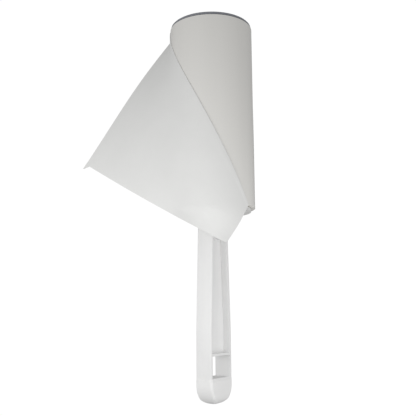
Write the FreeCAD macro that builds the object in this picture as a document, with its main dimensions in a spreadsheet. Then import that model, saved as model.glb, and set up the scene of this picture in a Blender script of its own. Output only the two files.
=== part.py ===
import FreeCAD, Part
import math
import os

import Sketcher

# A hand-held lint roller with a refill of adhesive sheets, one sheet half peeled.
#
# Frame: +Z runs along the roll's axis from the handle to the roll. The origin is on that axis, at the
# middle of the handle, where a hand holds it. X runs across the handle's flanges and Y through its web.
# Millimetres throughout.

DRIVING = {
    # handle, one white moulding of H section
    "handle_length": 100.0,  # tip of the handle to the lower end of the roll's seat
    "grip_width": 18.4,  # across the flanges' outer faces
    "neck_width": 13.9,  # the same, at the top
    "grip_depth": 9.2,  # the flanges' depth, through the web
    "flange_wall": 1.0,
    "web_wall": 1.5,
    "straight_length": 36.0,  # from the tip, before the grip starts to taper
    "end_swell": 0.4,  # the end stands proud of the flanges by this much
    "end_round": 1.2,  # rounding of the end's outer edges
    "neck_length": 11.0,  # solid block that holds the axle
    "slot_rise": 13.2,  # tip to the slot's lower edge
    "slot_height": 10.9,
    "end_margin": 1.0,  # the proud end stops this far below the slot
    "rib_wall": 1.2,  # cross rib above the slot
    "collar_radius": 15.0,
    "collar_wall": 2.4,
    # axle and its small parts
    "axle_radius": 2.5,
    "axle_grip": 12.0,  # length pressed into the neck
    "axle_chamfer": 0.6,
    "washer_radius": 6.5,
    "washer_wall": 0.6,
    "nut_radius": 5.5,
    "nut_wall": 0.8,
    "nut_rise": 0.9,
    # drum
    "drum_wall": 1.4,
    "drum_rib_height": 1.2,
    "drum_rib_width": 1.6,
    "drum_rib_count": 8.0,
    "drum_floor": 1.6,
    "hub_wall": 2.2,
    "hub_length": 10.0,
    "plug_wall": 1.6,
    "plug_depth": 11.0,  # how far the bearing plug sits below the drum's top end
    "plug_skirt": 5.0,
    "drum_recess": 1.0,  # the drum ends this far below the roll's top
    # refill
    "roll_length": 100.0,
    "core_bore_radius": 19.0,
    "core_wall": 1.5,
    "stack_depth": 2.0,  # wound sheets that are left on the core
    # end cap
    "cap_inset": 0.45,  # the cap's edge lies inside the roll's surface by this much
    "cap_wall": 1.5,
    "cap_edge": 0.35,
    "spigot_wall": 1.3,
    "spigot_length": 7.0,
    # peeled sheet, as a plain curved slab
    "sheet_wall": 0.5,
    "sheet_lift": 0.4,  # clear of the roll's surface
    "sheet_turn": -56.0,  # degrees about Z, from the handle's wide side to the peeled side
    "fold_angle": 50.0,  # degrees, where the fold meets the roll's lower end
    "leave_angle": 29.0,  # degrees the other way, where the flap leaves the roll's curve
    "corner_out": 49.6,  # the far corner, beyond the roll's side
    "corner_drop": 74.6,  # the same corner, below the roll's top
    "near_corner_out": 6.3,  # the near corner, past the axis
    "near_corner_drop": 20.3,  # the same corner, below the roll's lower end
    # clearances
    "seat_gap": 0.2,  # between faces of pieces that move on each other
    "slide_gap": 0.3,  # round pieces that slide inside each other
    "running_gap": 0.05,  # drum bearings on the axle
}


class Size:
    """A length that carries both its number and its spreadsheet expression."""

    def __init__(self, value, text):
        self.value = float(value)
        self.text = text

    @staticmethod
    def of(other):
        return other if isinstance(other, Size) else Size(other, repr(float(other)))

    def __add__(self, other):
        other = Size.of(other)
        return Size(self.value + other.value, f"({self.text} + {other.text})")

    def __sub__(self, other):
        other = Size.of(other)
        return Size(self.value - other.value, f"({self.text} - {other.text})")

    def __mul__(self, other):
        other = Size.of(other)
        return Size(self.value * other.value, f"({self.text} * {other.text})")

    def __truediv__(self, other):
        other = Size.of(other)
        return Size(self.value / other.value, f"({self.text} / {other.text})")

    def __neg__(self):
        return Size(-self.value, f"(0 - {self.text})")

    __rmul__ = __mul__


def cosine(angle):
    return Size(math.cos(math.radians(angle.value)), f"cos({angle.text} * 1 deg)")


def sine(angle):
    return Size(math.sin(math.radians(angle.value)), f"sin({angle.text} * 1 deg)")


doc = FreeCAD.newDocument("lint_roller")
sheet = doc.addObject("Spreadsheet::Sheet", "Sizes")
size = {}
for row, (alias, number) in enumerate(DRIVING.items(), start=1):
    sheet.set(f"A{row}", alias)
    sheet.set(f"B{row}", str(number))
    sheet.setAlias(f"B{row}", alias)
    size[alias] = Size(number, f"Sizes.{alias}")
doc.recompute()

ZERO = Size(0, "0")
TINY = 0.01  # millimetres, for telling flat edges from others
LEAST_CUT = 0.5  # cubic millimetres; a pocket that removes less has missed the body
subparts = []


def bind(feature, prop, length):
    feature.setExpression(prop, length.text)


def new_body(label):
    body = doc.addObject("PartDesign::Body", label)
    body.Label = label
    body.Placement = FreeCAD.Placement()
    subparts.append(body)
    return body


def origin_plane(body, role):
    return next(plane for plane in body.Origin.OriginFeatures if plane.Role == role)


def new_sketch(body, name, role, offset=None):
    """A sketch on one of the body's own planes, raised along the plane's normal by offset."""
    sketch = body.newObject("Sketcher::SketchObject", name)
    sketch.AttachmentSupport = (origin_plane(body, role), [""])
    sketch.MapMode = "FlatFace"
    if offset is not None:
        sketch.setExpression("AttachmentOffset.Base.z", offset.text)
    return sketch


def tie(sketch, kind, edge, end, length):
    """Ties one end of an edge to the origin by a distance of one kind, DistanceX or DistanceY."""
    index = sketch.addConstraint(Sketcher.Constraint(kind, -1, 1, edge, end, length.value))
    sketch.setExpression(f"Constraints[{index}]", length.text)


def pin(sketch, edge, end, point):
    """Ties one end of an edge to the place that point gives."""
    tie(sketch, "DistanceX", edge, end, point[0])
    tie(sketch, "DistanceY", edge, end, point[1])


def draw_edge(sketch, start, end):
    """A straight edge with both ends pinned."""
    ends = [FreeCAD.Vector(p[0].value, p[1].value, 0) for p in (start, end)]
    edge = sketch.addGeometry(Part.LineSegment(*ends), False)
    pin(sketch, edge, 1, start)
    pin(sketch, edge, 2, end)


def draw_outline(sketch, points):
    """A closed outline of straight edges through the points."""
    for number, start in enumerate(points):
        draw_edge(sketch, start, points[(number + 1) % len(points)])


def draw_rectangle(sketch, low, high):
    draw_outline(sketch, [low, (high[0], low[1]), high, (low[0], high[1])])


def draw_path(sketch, points):
    """Straight edges from point to point, left open."""
    for start, end in zip(points[:-1], points[1:]):
        draw_edge(sketch, start, end)


def draw_half_circle(sketch, radius, centre_height):
    """The lower half of a circle centred on the vertical axis."""
    middle = FreeCAD.Vector(0, centre_height.value, 0)
    circle = Part.Circle(middle, FreeCAD.Vector(0, 0, 1), radius.value)
    arc = sketch.addGeometry(Part.ArcOfCircle(circle, math.pi, 2 * math.pi), False)
    pin(sketch, arc, 1, (-radius, centre_height))
    pin(sketch, arc, 2, (radius, centre_height))
    tie(sketch, "DistanceY", arc, 3, centre_height)


def draw_circle(sketch, radius, centre):
    place = FreeCAD.Vector(centre[0].value, centre[1].value, 0)
    edge = sketch.addGeometry(Part.Circle(place, FreeCAD.Vector(0, 0, 1), radius.value), False)
    index = sketch.addConstraint(Sketcher.Constraint("Radius", edge, radius.value))
    sketch.setExpression(f"Constraints[{index}]", radius.text)
    pin(sketch, edge, 3, centre)


def pad(body, sketch, length, midplane=False):
    feature = body.newObject("PartDesign::Pad", sketch.Name + "_pad")
    feature.Profile = sketch
    feature.Midplane = midplane
    bind(feature, "Length", length)
    doc.recompute()
    return feature


def pocket(body, sketch, depth=None, reverse=False):
    """Cuts the outline to a depth, or through the whole body both ways, and checks that it cut."""
    before = body.Shape.Volume
    feature = body.newObject("PartDesign::Pocket", sketch.Name + "_cut")
    feature.Profile = sketch
    if depth is None:
        feature.Type = "ThroughAll"
        feature.Midplane = True
    else:
        feature.Reversed = reverse
        bind(feature, "Length", depth)
    doc.recompute()
    after = feature.Shape.Volume
    if after > before - LEAST_CUT:
        raise RuntimeError(f"{feature.Name} removed nothing: {before:.1f} to {after:.1f}")


def turned(body, name, points):
    """A ring or disc about the Z axis, whose section is the outline of (radius, height) points."""
    sketch = new_sketch(body, name, "XZ_Plane")
    draw_outline(sketch, points)
    feature = body.newObject("PartDesign::Revolution", name + "_turn")
    feature.Profile = sketch
    feature.ReferenceAxis = (sketch, ["V_Axis"])
    feature.Angle = 360
    doc.recompute()


# Levels on the Z axis and radii that several pieces share.
half_handle = size["handle_length"] / 2
tip = -half_handle
seat = half_handle
drum_bottom = seat - size["drum_floor"]
washer_bottom = drum_bottom - size["seat_gap"] - size["washer_wall"]
collar_bottom = washer_bottom - size["collar_wall"]
neck_bottom = collar_bottom - size["neck_length"]
refill_bottom = seat + size["seat_gap"]
refill_top = refill_bottom + size["roll_length"]
drum_top = refill_top - size["drum_recess"]
plug_top = drum_top - size["plug_depth"]
plug_bottom = plug_top - size["plug_wall"]
nut_bottom = plug_top + size["seat_gap"]
axle_top = nut_bottom + size["nut_wall"] + size["nut_rise"]
cap_bottom = refill_top + size["seat_gap"]
cap_top = cap_bottom + size["cap_wall"]

core_radius = size["core_bore_radius"] + size["core_wall"]
roll_radius = core_radius + size["stack_depth"]
rib_radius = size["core_bore_radius"] - size["slide_gap"]
drum_radius = rib_radius - size["drum_rib_height"]
drum_bore_radius = drum_radius - size["drum_wall"]
bearing_radius = size["axle_radius"] + size["running_gap"]
hub_radius = bearing_radius + size["hub_wall"]


def make_handle():
    """H-section grip with a solid round end, a hanging slot, a neck block and a round collar."""
    body = new_body("handle")
    half_grip = size["grip_width"] / 2
    half_neck = size["neck_width"] / 2
    inner_grip = half_grip - size["flange_wall"]
    inner_neck = half_neck - size["flange_wall"]
    end_radius = half_grip + size["end_swell"]
    end_centre = tip + end_radius
    taper_start = tip + size["straight_length"]
    slot_bottom = tip + size["slot_rise"]
    slot_top = slot_bottom + size["slot_height"]
    rib_top = slot_top + size["rib_wall"]
    end_half_depth = size["grip_depth"] / 2 + size["end_swell"]

    end_top = slot_bottom - size["end_margin"]
    round_end = new_sketch(body, "grip_end", "XZ_Plane")
    draw_half_circle(round_end, end_radius, end_centre)
    draw_path(round_end, [
        (end_radius, end_centre), (end_radius, end_top), (-end_radius, end_top),
        (-end_radius, end_centre)])
    end_pad = pad(body, round_end, end_half_depth * 2, midplane=True)
    round_rims(body, end_pad)
    round_underside(body, end_half_depth)

    outline = new_sketch(body, "grip_outline", "XZ_Plane")
    left = [(-half_neck, collar_bottom), (-half_grip, taper_start), (-half_grip, end_centre)]
    right = [(half_grip, end_centre), (half_grip, taper_start), (half_neck, collar_bottom)]
    draw_outline(outline, left + right)
    pad(body, outline, size["grip_depth"], midplane=True)

    web_face = size["web_wall"] / 2
    grip_face = size["grip_depth"] / 2
    long_groove = [
        (-inner_grip, rib_top), (inner_grip, rib_top), (inner_grip, taper_start),
        (inner_neck, neck_bottom), (-inner_neck, neck_bottom), (-inner_grip, taper_start),
    ]
    for side, label in ((1, "front"), (-1, "back")):
        groove = new_sketch(body, f"groove_{label}", "XZ_Plane", offset=grip_face * side)
        draw_outline(groove, long_groove)
        pocket(body, groove, grip_face - web_face, reverse=side < 0)

    slot = new_sketch(body, "hang_slot", "XZ_Plane")
    draw_rectangle(slot, (-inner_grip, slot_bottom), (inner_grip, slot_top))
    pocket(body, slot)
    add_collar(body)
    drill_socket(body)


def round_rims(body, end_pad):
    """Rounds the outer edges of the end's two faces, apart from their straight tops."""
    highest = end_pad.Shape.BoundBox.ZMax
    rims = []
    for number, edge in enumerate(end_pad.Shape.Edges, start=1):
        box = edge.BoundBox
        if box.YLength < TINY and box.ZMin < highest - TINY:
            rims.append(f"Edge{number}")
    rounding = body.newObject("PartDesign::Fillet", "end_rounding")
    rounding.Base = (end_pad, rims)
    bind(rounding, "Radius", size["end_round"])
    doc.recompute()


def round_underside(body, radius):
    """Cuts away what lies outside a half circle seen along X, so that the tip is round both ways."""
    centre = tip + radius
    outside = radius * 2
    under = new_sketch(body, "end_underside", "YZ_Plane")
    draw_half_circle(under, radius, centre)
    draw_path(under, [
        (radius, centre), (outside, centre), (outside, tip - radius), (-outside, tip - radius),
        (-outside, centre), (-radius, centre)])
    pocket(body, under)


def add_collar(body):
    sketch = new_sketch(body, "collar", "XY_Plane", offset=collar_bottom)
    draw_circle(sketch, size["collar_radius"], (ZERO, ZERO))
    pad(body, sketch, size["collar_wall"])


def drill_socket(body):
    sketch = new_sketch(body, "axle_socket", "XY_Plane", offset=washer_bottom)
    draw_circle(sketch, size["axle_radius"], (ZERO, ZERO))
    pocket(body, sketch, size["axle_grip"])


def make_axle():
    body = new_body("axle")
    radius = size["axle_radius"]
    bevel = size["axle_chamfer"]
    bottom = washer_bottom - size["axle_grip"]
    turned(body, "axle_section", [
        (ZERO, bottom), (radius, bottom), (radius, axle_top - bevel),
        (radius - bevel, axle_top), (ZERO, axle_top)])


def make_washer():
    body = new_body("thrust_washer")
    top = washer_bottom + size["washer_wall"]
    ring(body, "washer_section", size["axle_radius"], size["washer_radius"], washer_bottom, top)


def ring(body, name, inner, outer, bottom, top):
    turned(body, name, [(inner, bottom), (outer, bottom), (outer, top), (inner, top)])


def make_nut():
    """A push-on nut: a thin disc dished upward towards the axle that it grips."""
    body = new_body("push_nut")
    inner, outer = size["axle_radius"], size["nut_radius"]
    rise, wall = size["nut_rise"] / 2, size["nut_wall"]
    turned(body, "nut_section", [
        (inner, nut_bottom + rise), (outer, nut_bottom), (outer, nut_bottom + wall),
        (inner, nut_bottom + rise + wall)])


def make_drum():
    """The turning core: a tube with a floor, a bearing hub and ribs that carry the refill."""
    body = new_body("drum")
    floor = seat
    hub_top = drum_bottom + size["hub_length"]
    turned(body, "drum_section", [
        (bearing_radius, drum_bottom), (core_radius, drum_bottom), (core_radius, floor),
        (drum_radius, floor), (drum_radius, drum_top), (drum_bore_radius, drum_top),
        (drum_bore_radius, floor), (hub_radius, floor), (hub_radius, hub_top),
        (bearing_radius, hub_top)])
    rib = new_sketch(body, "drum_rib", "XY_Plane", offset=floor)
    half = size["drum_rib_width"] / 2
    root = drum_radius - size["drum_wall"] / 2
    draw_rectangle(rib, (root, -half), (rib_radius, half))
    feature = pad(body, rib, drum_top - floor)
    pattern = body.newObject("PartDesign::PolarPattern", "drum_ribs")
    pattern.Originals = [feature]
    pattern.Axis = (rib, ["N_Axis"])
    pattern.Angle = 360
    bind(pattern, "Occurrences", size["drum_rib_count"])
    body.Tip = pattern
    doc.recompute()


def make_plug():
    """The bearing plug pressed into the drum's upper end."""
    body = new_body("drum_plug")
    skirt_bottom = plug_top - size["plug_skirt"]
    hub_bottom = plug_top - size["hub_length"]
    skirt_radius = drum_bore_radius - size["drum_wall"]
    turned(body, "plug_section", [
        (bearing_radius, hub_bottom), (hub_radius, hub_bottom), (hub_radius, plug_bottom),
        (skirt_radius, plug_bottom), (skirt_radius, skirt_bottom), (drum_bore_radius, skirt_bottom),
        (drum_bore_radius, plug_top), (bearing_radius, plug_top)])


def make_core():
    ring(new_body("core_tube"), "core_section", size["core_bore_radius"], core_radius,
         refill_bottom, refill_top)


def make_sheet_roll():
    ring(new_body("sheet_roll"), "roll_section", core_radius, roll_radius, refill_bottom, refill_top)


def make_cap():
    """The end cap: a disc with a bevelled edge and a spigot that plugs into the drum."""
    body = new_body("end_cap")
    edge = roll_radius - size["cap_inset"]
    bevel = size["cap_edge"]
    spigot = drum_bore_radius - size["slide_gap"]
    spigot_bore = spigot - size["spigot_wall"]
    spigot_bottom = cap_bottom - size["spigot_length"]
    turned(body, "cap_section", [
        (ZERO, cap_bottom), (spigot_bore, cap_bottom), (spigot_bore, spigot_bottom),
        (spigot, spigot_bottom), (spigot, cap_bottom), (edge - bevel, cap_bottom),
        (edge, cap_bottom + bevel), (edge, cap_top - bevel), (edge - bevel, cap_top),
        (ZERO, cap_top)])


def make_peeled_sheet():
    """The free part of the top sheet: it follows the roll, then leaves it in a flat plane.

    In the body's own frame the sheet is seen from -Y, with its far corner to the left. The body is
    then turned about Z to where the sheet hangs on the roll.
    """
    body = new_body("peeled_sheet")
    bind(body, "Placement.Rotation.Angle", size["sheet_turn"])
    inner = roll_radius + size["sheet_lift"]
    outer = inner + size["sheet_wall"]
    low = seat - size["near_corner_drop"]
    high = refill_top
    tube = new_sketch(body, "sheet_tube", "XY_Plane", offset=low)
    draw_circle(tube, outer, (ZERO, ZERO))
    draw_circle(tube, inner, (ZERO, ZERO))
    pad(body, tube, high - low)
    fold_sine, fold_cosine = sine(size["fold_angle"]), cosine(size["fold_angle"])
    leave_sine, leave_cosine = sine(size["leave_angle"]), cosine(size["leave_angle"])
    reach = 3 * outer  # well past the tube on every side
    opening = new_sketch(body, "sheet_opening", "XY_Plane", offset=low)
    draw_outline(opening, [
        (ZERO, ZERO), (reach * fold_sine, -reach * fold_cosine), (reach, reach), (-reach, reach),
        (-reach, ZERO), (-reach * leave_sine, -reach * leave_cosine)])
    pocket(body, opening)
    length = (roll_radius + size["corner_out"]) / leave_cosine  # reaches past the far corner
    flat = new_sketch(body, "sheet_flat", "XY_Plane", offset=low)
    draw_outline(flat, [
        (-inner * leave_sine, -inner * leave_cosine),
        (-inner * leave_sine - length * leave_cosine, length * leave_sine - inner * leave_cosine),
        (-outer * leave_sine - length * leave_cosine, length * leave_sine - outer * leave_cosine),
        (-outer * leave_sine, -outer * leave_cosine)])
    pad(body, flat, high - low)
    trim = new_sketch(body, "sheet_trim", "XZ_Plane")
    margin = size["corner_out"]
    draw_rectangle(trim, (-reach - margin, low - margin), (reach + margin, high + margin))
    draw_outline(trim, [
        (-roll_radius, high), (-roll_radius - size["corner_out"], high - size["corner_drop"]),
        (size["near_corner_out"], low), (inner * fold_sine, seat)])
    pocket(body, trim)


def check_model():
    """Stops before anything is written if a feature failed or a piece isn't one sound solid."""
    for item in doc.Objects:
        if "Invalid" in item.State or "Error" in item.State:
            raise RuntimeError(f"{item.Name} failed: {item.State}")
    for body in subparts:
        shape = body.Shape
        if shape.isNull() or not shape.isValid() or len(shape.Solids) != 1:
            raise RuntimeError(f"{body.Label} isn't one valid solid")


make_handle()
make_axle()
make_washer()
make_nut()
make_drum()
make_plug()
make_core()
make_sheet_roll()
make_cap()
make_peeled_sheet()
doc.recompute()
check_model()
os.makedirs("parts", exist_ok=True)
for body in subparts:
    body.Shape.exportStep(f"parts/{body.Label}.step")
    box = body.Shape.BoundBox
    print(f"{body.Label}: volume {body.Shape.Volume:.0f}, z {box.ZMin:.2f} to {box.ZMax:.2f}")
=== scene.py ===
import math

import bmesh
import bpy
import numpy as np
from mathutils import Matrix, Vector


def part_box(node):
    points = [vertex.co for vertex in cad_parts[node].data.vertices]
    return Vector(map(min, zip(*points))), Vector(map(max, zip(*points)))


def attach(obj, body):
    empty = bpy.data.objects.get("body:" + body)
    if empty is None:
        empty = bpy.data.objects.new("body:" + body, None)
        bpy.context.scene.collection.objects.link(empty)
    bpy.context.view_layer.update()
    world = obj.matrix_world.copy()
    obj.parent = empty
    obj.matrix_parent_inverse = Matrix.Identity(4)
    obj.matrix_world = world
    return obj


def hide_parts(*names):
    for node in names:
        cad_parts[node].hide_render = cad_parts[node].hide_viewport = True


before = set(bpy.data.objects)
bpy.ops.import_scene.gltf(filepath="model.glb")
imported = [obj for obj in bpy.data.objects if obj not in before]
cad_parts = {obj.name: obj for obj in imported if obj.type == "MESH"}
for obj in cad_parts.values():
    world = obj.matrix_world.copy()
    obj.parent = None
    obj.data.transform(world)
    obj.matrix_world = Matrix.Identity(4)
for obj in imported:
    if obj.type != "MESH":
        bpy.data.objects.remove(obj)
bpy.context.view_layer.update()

# A lint roller: the CAD's hard pieces get their materials, and the refill's sheets are modelled here.
# Metres, unless a comment says millimetres. The "peel frame" is the row frame turned about Z, so that the
# peeled side of the roll faces -Y and the sheet's free corner lies to the left.

MM = 0.001
PEEL_TURN = math.radians(-56.0)

roll_low, roll_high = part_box("sheet_roll")
core_low, core_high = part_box("core_tube")
ROLL_RADIUS = (roll_high[0] - roll_low[0]) / 2
CORE_RADIUS = (core_high[0] - core_low[0]) / 2
ROLL_BOTTOM, ROLL_TOP = roll_low[2], roll_high[2]
ROLL_LENGTH = ROLL_TOP - ROLL_BOTTOM

# ---------------------------------------------------------------- camera

CAMERA_DISTANCE = 339.2 * MM  # from the roll's axis
CAMERA_ASIDE = -2.45 * MM  # to the left of it
CAMERA_HEIGHT = -3.4 * MM
CAMERA_PITCH = math.radians(9.1)  # looking up
CAMERA_ROLL = math.radians(-0.49)
CAMERA_FOV = math.radians(35.8)
NEAREST, FURTHEST = 0.01, 50.0  # clipping


def to_row(x, y, z):
    """A point of the peel frame in the row frame."""
    return Matrix.Rotation(PEEL_TURN, 3, "Z") @ Vector((x, y, z))


def add_camera():
    data = bpy.data.cameras.new("camera")
    data.angle = CAMERA_FOV
    data.clip_start = NEAREST
    data.clip_end = FURTHEST
    camera = bpy.data.objects.new("camera", data)
    bpy.context.scene.collection.objects.link(camera)
    aim = Matrix.Rotation(PEEL_TURN, 4, "Z") @ Matrix.Rotation(math.pi / 2 + CAMERA_PITCH, 4, "X")
    aim = aim @ Matrix.Rotation(CAMERA_ROLL, 4, "Z")
    place = to_row(CAMERA_ASIDE, -CAMERA_DISTANCE, CAMERA_HEIGHT)
    camera.matrix_world = Matrix.Translation(place) @ aim
    bpy.context.scene.camera = camera


add_camera()

# ---------------------------------------------------------------- materials


def new_material(name, color, roughness, specular=0.5, metallic=0.0):
    """A principled material whose constants sit on the shader's own sockets."""
    material = bpy.data.materials.new(name)
    material.use_nodes = True
    shader = material.node_tree.nodes["Principled BSDF"]
    shader.inputs["Base Color"].default_value = (*color, 1)
    shader.inputs["Roughness"].default_value = roughness
    shader.inputs["Specular IOR Level"].default_value = specular
    shader.inputs["Metallic"].default_value = metallic
    return material, material.node_tree, shader


def add_node(tree, kind, **values):
    node = tree.nodes.new(kind)
    for name, value in values.items():
        setattr(node, name, value)
    return node


def object_coords(tree, scale):
    coords = add_node(tree, "ShaderNodeTexCoord")
    mapping = add_node(tree, "ShaderNodeMapping")
    mapping.inputs["Scale"].default_value = scale
    tree.links.new(coords.outputs["Object"], mapping.inputs["Vector"])
    return mapping.outputs["Vector"]


def noise(tree, scale, detail=4, rough=0.55, stretch=(1, 1, 1)):
    """Noise of so many cells a metre; a stretch below 1 draws it out along that axis."""
    node = add_node(tree, "ShaderNodeTexNoise")
    node.inputs["Scale"].default_value = scale
    node.inputs["Detail"].default_value = detail
    node.inputs["Roughness"].default_value = rough
    tree.links.new(object_coords(tree, stretch), node.inputs["Vector"])
    return node.outputs["Fac"]


def ramp(tree, fac, stops):
    """Maps a 0 to 1 value onto colours."""
    node = add_node(tree, "ShaderNodeValToRGB")
    elements = node.color_ramp.elements
    while len(elements) < len(stops):
        elements.new(0.5)
    for element, (place, color) in zip(elements, stops):
        element.position = place
        element.color = (*color, 1)
    tree.links.new(fac, node.inputs["Fac"])
    return node.outputs["Color"]


def spread(tree, fac, low, high):
    """Maps a 0 to 1 value onto low to high."""
    node = add_node(tree, "ShaderNodeMapRange")
    node.inputs["To Min"].default_value = low
    node.inputs["To Max"].default_value = high
    tree.links.new(fac, node.inputs["Value"])
    return node.outputs["Result"]


def bump(tree, shader, height, strength, distance, below=None):
    """Adds relief to a shader, on top of the relief below it."""
    node = add_node(tree, "ShaderNodeBump")
    node.inputs["Strength"].default_value = strength
    node.inputs["Distance"].default_value = distance
    tree.links.new(height, node.inputs["Height"])
    if below is not None:
        tree.links.new(below, node.inputs["Normal"])
    tree.links.new(node.outputs["Normal"], shader.inputs["Normal"])
    return node.outputs["Normal"]


def paper_material(name, pale, dark, roughness):
    """Paper: short fibres, slow mottling and a soft tooth."""
    material, tree, shader = new_material(name, pale, roughness[0])
    mottle = noise(tree, 60, detail=6, rough=0.6)
    tree.links.new(ramp(tree, mottle, [(0.3, dark), (0.7, pale)]), shader.inputs["Base Color"])
    fibres = noise(tree, 900, detail=3, stretch=(1, 1, 0.35))
    tree.links.new(spread(tree, fibres, *roughness), shader.inputs["Roughness"])
    tooth = bump(tree, shader, fibres, 0.25, 0.00005)
    bump(tree, shader, noise(tree, 35, detail=2), 0.12, 0.0006, below=tooth)
    return material


def sticky_material():
    """A sheet's outer face: adhesive-coated paper, a little warmer, with fine streaks in the coating."""
    pale, dark = (0.855, 0.845, 0.815), (0.83, 0.82, 0.79)
    material, tree, shader = new_material("adhesive_paper", pale, 0.42, specular=0.35)
    streaks = noise(tree, 150, detail=5, stretch=(1, 1, 0.02))
    tree.links.new(ramp(tree, streaks, [(0.25, dark), (0.75, pale)]), shader.inputs["Base Color"])
    gloss = noise(tree, 45, detail=4)
    tree.links.new(spread(tree, gloss, 0.36, 0.5), shader.inputs["Roughness"])
    bump(tree, shader, noise(tree, 420, detail=4), 0.18, 0.00006)
    return material


GLOW_DEPTH = 3 * MM  # how far light spreads in the white plastic


def plastic_material(name, color, roughness, grain=500.0, strength=0.12, glow=0.0):
    """Moulded plastic: a fine tooled grain, faint flow marks, uneven gloss and some glow from within."""
    material, tree, shader = new_material(name, color, roughness[0], specular=0.45)
    flow = noise(tree, 40, detail=3, stretch=(1, 1, 0.3))
    shade = tuple(0.96 * c for c in color)
    shader.inputs["Subsurface Weight"].default_value = glow
    shader.inputs["Subsurface Radius"].default_value = (1, 1, 1)
    shader.inputs["Subsurface Scale"].default_value = GLOW_DEPTH
    tree.links.new(ramp(tree, flow, [(0.3, shade), (0.7, color)]), shader.inputs["Base Color"])
    tree.links.new(spread(tree, noise(tree, 110, detail=4), *roughness), shader.inputs["Roughness"])
    bump(tree, shader, noise(tree, grain, detail=3), strength, 0.00005)
    return material


def steel_material(name, color, roughness, lines):
    """Bright steel with fine drawing lines, or even grain where lines is (1, 1, 1)."""
    material, tree, shader = new_material(name, color, roughness[0], metallic=1.0)
    drawn = noise(tree, 600, detail=4, stretch=lines)
    tree.links.new(spread(tree, drawn, *roughness), shader.inputs["Roughness"])
    bump(tree, shader, drawn, 0.15, 0.00003)
    return material


def board_material():
    """Wound grey board: short fibres and flecks."""
    pale, dark = (0.5, 0.47, 0.41), (0.36, 0.33, 0.28)
    material, tree, shader = new_material("core_board", pale, 0.85, specular=0.2)
    flecks = noise(tree, 700, detail=6, rough=0.7)
    tree.links.new(ramp(tree, flecks, [(0.35, dark), (0.6, pale)]), shader.inputs["Base Color"])
    bump(tree, shader, flecks, 0.35, 0.0001)
    return material


MATERIALS = {
    "sheet": paper_material("sheet_paper", (0.85, 0.852, 0.84), (0.825, 0.827, 0.815), (0.55, 0.68)),
    "sticky": sticky_material(),
    "handle": plastic_material("handle_plastic", (0.895, 0.895, 0.89), (0.36, 0.46), glow=0.6),
    "drum": plastic_material("drum_plastic", (0.82, 0.82, 0.81), (0.42, 0.55)),
    "washer": plastic_material("washer_plastic", (0.78, 0.78, 0.75), (0.4, 0.5)),
    "cap": plastic_material("cap_plastic", (0.26, 0.27, 0.3), (0.38, 0.5), grain=800.0, strength=0.2),
    "axle": steel_material("axle_steel", (0.6, 0.6, 0.61), (0.2, 0.34), (1, 1, 0.02)),
    "nut": steel_material("nut_steel", (0.45, 0.45, 0.47), (0.3, 0.45), (1, 1, 1)),
    "board": board_material(),
}


NODE_MATERIALS = {
    "handle": "handle",
    "drum": "drum",
    "drum_plug": "drum",
    "thrust_washer": "washer",
    "end_cap": "cap",
    "axle": "axle",
    "push_nut": "nut",
    "core_tube": "board",
}
EDGE_ROUNDING = {"handle": 0.35 * MM, "drum": 0.2 * MM, "end_cap": 0.12 * MM}
SHARP_ANGLE = math.radians(35)  # edges that turn by more are edges, not curved faces


def finish_node(node, material):
    """Gives a CAD node its material."""
    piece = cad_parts[node]
    piece.data.materials.clear()
    piece.data.materials.append(MATERIALS[material])


def soften(node, width):
    """Rounds a CAD node's hard edges a little with a bevel modifier, which leaves its mesh alone."""
    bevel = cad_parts[node].modifiers.new("soft_edges", "BEVEL")
    bevel.width = width
    bevel.segments = 2
    bevel.limit_method = "ANGLE"
    bevel.angle_limit = SHARP_ANGLE


for node, material in NODE_MATERIALS.items():
    finish_node(node, material)
for node, width in EDGE_ROUNDING.items():
    soften(node, width)


def add_mesh(name, points, faces, material, smooth_angle=SHARP_ANGLE):
    """A smooth-shaded piece, with sharp edges where it turns by more than smooth_angle."""
    mesh = bpy.data.meshes.new(name)
    mesh.from_pydata([tuple(p) for p in points], [], faces)
    mesh.validate()
    mesh.materials.append(material)
    mesh.shade_smooth()
    mesh.set_sharp_from_angle(angle=smooth_angle)
    piece = bpy.data.objects.new(name, mesh)
    bpy.context.scene.collection.objects.link(piece)
    return piece


# ---------------------------------------------------------------- the sheets left on the refill

LAYER = 0.125 * MM  # one sheet
EDGE_UNEVENNESS = 0.12 * MM  # how far a layer's edge lies inside the roll's end
ROLL_STEPS = 160  # round the roll
SEED = 4


def roll_profile():
    """(radius, height) points round the section: each end face has one step a layer."""
    rng = np.random.default_rng(SEED)
    count = int(round((ROLL_RADIUS - CORE_RADIUS) / LAYER))
    radii = np.linspace(ROLL_RADIUS, CORE_RADIUS, count + 1)

    def end_steps(height, sign):
        steps = []
        for outer, inner in zip(radii[:-1], radii[1:]):
            inset = sign * rng.uniform(0.0, EDGE_UNEVENNESS)
            steps += [(outer, height + inset), (inner, height + inset)]
        return steps

    upper = end_steps(ROLL_TOP, -1)
    lower = end_steps(ROLL_BOTTOM, 1)
    return upper + lower[::-1]


def add_sheet_roll():
    """The section turned about the roll's axis."""
    section = roll_profile()
    count = len(section)
    points, faces = [], []
    for turn in range(ROLL_STEPS):
        angle = 2 * math.pi * turn / ROLL_STEPS
        points += [(r * math.cos(angle), r * math.sin(angle), z) for r, z in section]
        here, there = turn * count, (turn + 1) % ROLL_STEPS * count
        for step in range(count):
            after = (step + 1) % count
            faces.append((here + step, there + step, there + after, here + after))
    piece = add_mesh("sheet_roll_web", points, faces, MATERIALS["sticky"])
    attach(piece, "refill")
    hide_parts("sheet_roll")


add_sheet_roll()

# ---------------------------------------------------------------- the sheet being peeled off
#
# One slanted strip of paper, worked out in the peel frame in millimetres. Its first part still lies round
# the back of the roll, from the seam to the fold line. There it turns over in a tight bend, and its free
# part stands off the roll, held at its two end corners as if by a hand. "Across" runs from 0 at the
# strip's lower rim to 1 at its upper rim.

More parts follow.
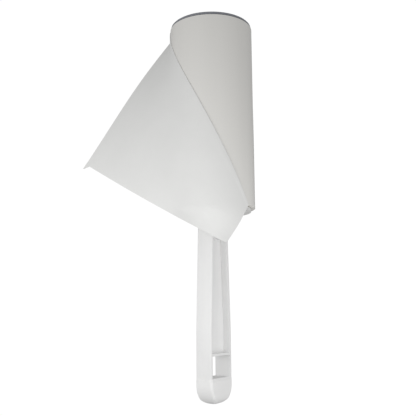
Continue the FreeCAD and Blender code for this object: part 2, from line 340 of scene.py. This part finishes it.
STRIP_CELLS = 36  # along the free part, and across the strip
WRAP_CELLS = 96
BEND_CELLS = 8

# Angles round the roll, from 0 at the front: the seam, and the fold, which turns by FOLD_TURN from its
# start at the lower rim, hooks away near the upper rim and runs on a little at its lower end.
SEAM_LOWER, SEAM_UPPER = math.radians(-282.0), math.radians(-257.0)
FOLD_START = math.radians(48.0)
FOLD_TURN = math.radians(118.6)
FOLD_HOOK = math.radians(22.0)
FOLD_TOE = math.radians(4.0)

FREE_LOWER = 27.2  # free length at the strip's lower rim
FREE_EXTRA = 10.2  # how much further the upper rim reaches
BEND_LOWER, BEND_UPPER = 0.7, 0.3  # how far the bend stands off the roll
BEND_LENGTH = 1.57  # paper used up in the bend, for each millimetre that it stands off
STUCK_LOWER, STUCK_UPPER = 1.0, 7.0  # past the bend the paper still touches the roll for this long
UPPER_CORNER = np.array((-70.7, 13.8, 78.4))
CORNER_TIP = np.array((-72.3, 13.0, 75.6))  # the corner itself is bent down a little
LOWER_CORNER = np.array((6.4, -23.1, 29.8))
CLEARANCE = 0.5  # between the free part and the roll
BELOW_RIM = 4.0  # the free part also keeps out of the space this far below the roll

SETTLING = 4000  # rounds
SETTLING_RATE = 1.3
TIE_REACHES = (1, 2, 4, 8)  # cells between the points that a tie joins
LONG_TIE_STIFFNESS = 0.3  # the longer ties keep the paper from crumpling
SMOOTHING = 300  # rounds
SMOOTHING_RATE = 0.5
TINY = 1e-9

radius = ROLL_RADIUS / MM
bottom = ROLL_BOTTOM / MM
length = ROLL_LENGTH / MM
lying = radius + 0.6 * LAYER / MM  # middle of the paper, which lies a tenth of a layer off the roll


def around_roll(distance, angle, height):
    """Points at a distance from the axis; angle 0 faces -Y and grows towards +X."""
    return np.stack([distance * np.sin(angle), -distance * np.cos(angle), height], -1)


def slant_of(across, fold):
    """The fold line's angle to the axis, where the paper is laid out flat."""
    return np.arctan2(-radius * np.gradient(fold, across), length)


def free_part(across, fold):
    """Lets the free part settle: paper that keeps its lengths, held at the bend and two corners."""
    lift = BEND_LOWER + (BEND_UPPER - BEND_LOWER) * across
    taken = BEND_LENGTH * lift
    start = radius * fold
    free = FREE_LOWER + (start[0] - start) + FREE_EXTRA * across - taken
    along = np.linspace(0, 1, STRIP_CELLS + 1)
    run = along[:, None] * free[None, :]
    flat_across = np.repeat((across * length)[None, :], STRIP_CELLS + 1, 0)
    flat = np.stack([(start + taken)[None, :] + run, flat_across], -1)
    first = around_roll(radius + lift, fold, bottom + across * length)
    last = LOWER_CORNER + (UPPER_CORNER - LOWER_CORNER) * across[:, None]
    paper = first[None] * (1 - along[:, None, None]) + last[None] * along[:, None, None]

    # Next to the bend the paper lies back on the roll, mirrored about the fold line.
    slant = slant_of(across, fold)
    back = fold - run * np.cos(2 * slant) / (radius + lift)
    height = bottom + across * length - run * np.sin(2 * slant)
    held = run <= STUCK_LOWER + (STUCK_UPPER - STUCK_LOWER) * across
    held[0] = True
    paper[held] = around_roll(radius + lift + 0 * run, back, height)[held]

    ties = []

    def tie(a, b, stiffness):
        ties.append((a, b, np.linalg.norm(flat[a] - flat[b], axis=-1), stiffness))

    every = slice(None)
    for reach in TIE_REACHES:
        stiffness = 1.0 if reach == 1 else LONG_TIE_STIFFNESS
        near, far = slice(0, -reach), slice(reach, None)
        tie((near, every), (far, every), stiffness)
        tie((every, near), (every, far), stiffness)
        if reach == 1:
            tie((near, near), (far, far), stiffness)
            tie((near, far), (far, near), stiffness)

    for _ in range(SETTLING):
        moved = np.zeros_like(paper)
        weight = np.zeros(paper.shape[:2])
        for a, b, rest, stiffness in ties:
            gap = paper[b] - paper[a]
            now = np.linalg.norm(gap, axis=-1) + TINY
            step = 0.5 * (stiffness * (now - rest) / now)[..., None] * gap
            moved[a] += step
            moved[b] -= step
            weight[a] += stiffness
            weight[b] += stiffness
        paper += np.where(held[..., None], 0, SETTLING_RATE * moved / weight[..., None])
        keep_off_roll(paper, held)
        paper[-1, -1] = UPPER_CORNER
        paper[-1, 0] = LOWER_CORNER
    return smoothed(paper, held), lift


def smoothed(paper, held):
    """Irons out small ripples: each free point moves towards the middle of its neighbours."""
    free = np.where(held, 0, SMOOTHING_RATE)[..., None]
    free[-1, 0] = free[-1, -1] = 0
    for _ in range(SMOOTHING):
        along = (np.roll(paper, 1, 0) + np.roll(paper, -1, 0)) / 2
        beside = (np.roll(paper, 1, 1) + np.roll(paper, -1, 1)) / 2
        target = (along + beside) / 2
        target[-1] = beside[-1]
        target[:, 0] = along[:, 0]
        target[:, -1] = along[:, -1]
        paper = paper + free * (target - paper)
        keep_off_roll(paper, held)
    paper[-1, -1] = CORNER_TIP
    return paper


def keep_off_roll(paper, held):
    """Pushes points that are inside the roll, or just below its rim, out to its surface."""
    out = np.hypot(paper[..., 0], paper[..., 1])
    inside = (paper[..., 2] > bottom - BELOW_RIM) & (out < radius + CLEARANCE) & ~held
    push = np.where(inside, (radius + CLEARANCE) / np.maximum(out, TINY), 1.0)
    paper[..., 0] *= push
    paper[..., 1] *= push


def bend_part(across, fold, paper, lift):
    """The tight turn from the roll's surface over to the free part, one smooth curve at each height."""
    slant = slant_of(across, fold)
    sideways = np.cos(slant)
    leave = np.stack([sideways * np.cos(fold), sideways * np.sin(fold), np.sin(slant)], 1)
    arrive = paper[1] - paper[0]
    arrive /= np.linalg.norm(arrive, axis=1)[:, None]
    reach = 2 / 3 * lift[:, None]
    begin = around_roll(lying, fold, bottom + across * length)
    end = paper[0]
    t = np.linspace(0, 1, BEND_CELLS + 1)[:, None, None]
    curve = (1 - t) ** 3 * begin + 3 * (1 - t) ** 2 * t * (begin + reach * leave)
    return curve + 3 * (1 - t) * t**2 * (end - reach * arrive) + t**3 * end


def add_peeled_sheet():
    across = np.linspace(0, 1, STRIP_CELLS + 1)
    fold = FOLD_START - FOLD_TURN * across - FOLD_HOOK * across**4 + FOLD_TOE * (1 - across) ** 8
    seam = SEAM_LOWER + (SEAM_UPPER - SEAM_LOWER) * across
    paper, lift = free_part(across, fold)
    share = np.linspace(0, 1, WRAP_CELLS + 1)[:, None]
    angle = seam + (fold - seam) * share
    wrap = around_roll(lying, angle, bottom + length * (across + 0 * share))
    rows = np.concatenate([wrap, bend_part(across, fold, paper, lift)[1:], paper[1:]])
    points = [to_row(*p) * MM for p in rows.reshape(-1, 3)]
    wide = STRIP_CELLS + 1
    faces = [
        (k * wide + j, k * wide + j + 1, (k + 1) * wide + j + 1, (k + 1) * wide + j)
        for k in range(len(rows) - 1)
        for j in range(STRIP_CELLS)
    ]
    piece = add_mesh("peeled_strip", points, faces, MATERIALS["sheet"], smooth_angle=math.radians(80))
    piece.data.materials.append(MATERIALS["sticky"])
    thick = piece.modifiers.new("paper_thickness", "SOLIDIFY")
    thick.thickness = LAYER
    thick.offset = 0
    thick.material_offset = 1  # the second material, on the outer face
    shading = piece.modifiers.new("flat_to_the_edge", "WEIGHTED_NORMAL")
    shading.weight = 100
    shading.keep_sharp = True
    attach(piece, "refill")
    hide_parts("peeled_sheet")


add_peeled_sheet()

# ---------------------------------------------------------------- light and floor


def add_light(name, place, aim, size, power):
    """A soft lamp of size (width, height), placed and aimed in the peel frame."""
    data = bpy.data.lights.new(name, "AREA")
    data.shape = "RECTANGLE"
    data.size, data.size_y = size
    data.energy = power
    lamp = bpy.data.objects.new(name, data)
    bpy.context.scene.collection.objects.link(lamp)
    lamp.visible_camera = False
    start, goal = to_row(*place), to_row(*aim)
    lamp.location = start
    lamp.rotation_euler = (goal - start).to_track_quat("-Z", "Y").to_euler()


def add_world(background, ambient):
    """A white studio: the camera sees a bright backdrop, and the object gets a softer share of it."""
    world = bpy.data.worlds.new("studio")
    world.use_nodes = True
    tree = world.node_tree
    tree.nodes.clear()
    rays = add_node(tree, "ShaderNodeLightPath")
    mix = add_node(tree, "ShaderNodeMixShader")
    output = add_node(tree, "ShaderNodeOutputWorld")
    for socket, strength in ((1, ambient), (2, background)):
        shade = add_node(tree, "ShaderNodeBackground")
        shade.inputs["Color"].default_value = (1, 1, 1, 1)
        shade.inputs["Strength"].default_value = strength
        tree.links.new(shade.outputs[0], mix.inputs[socket])
    tree.links.new(rays.outputs["Is Camera Ray"], mix.inputs[0])
    tree.links.new(mix.outputs[0], output.inputs[0])
    bpy.context.scene.world = world


FLOOR_RADIUS = 1.4
FLOOR_HEIGHT = -0.3


def add_floor():
    """A plain pale disc, well below the held roller."""
    mesh = bpy.data.meshes.new("floor")
    shape = bmesh.new()
    bmesh.ops.create_circle(shape, cap_ends=True, segments=64, radius=FLOOR_RADIUS)
    shape.to_mesh(mesh)
    shape.free()
    floor = bpy.data.objects.new("floor", mesh)
    floor.location.z = FLOOR_HEIGHT
    bpy.context.scene.collection.objects.link(floor)
    mesh.materials.append(new_material("floor", (0.9, 0.9, 0.9), 0.8)[0])


add_world(background=1.02, ambient=0.405)
add_light("key", place=(-0.13, -0.16, 0.005), aim=(-0.02, 0, 0.01), size=(0.5, 0.08), power=0.35)
add_light("side", place=(0.17, -0.12, -0.12), aim=(0, 0, -0.06), size=(0.2, 0.1), power=0.06)
add_light("low_fill", place=(0.1, -0.07, -0.02), aim=(0, 0, 0.01), size=(0.08, 0.08), power=0.038)
add_floor()
bpy.context.scene.view_settings.view_transform = "Standard"
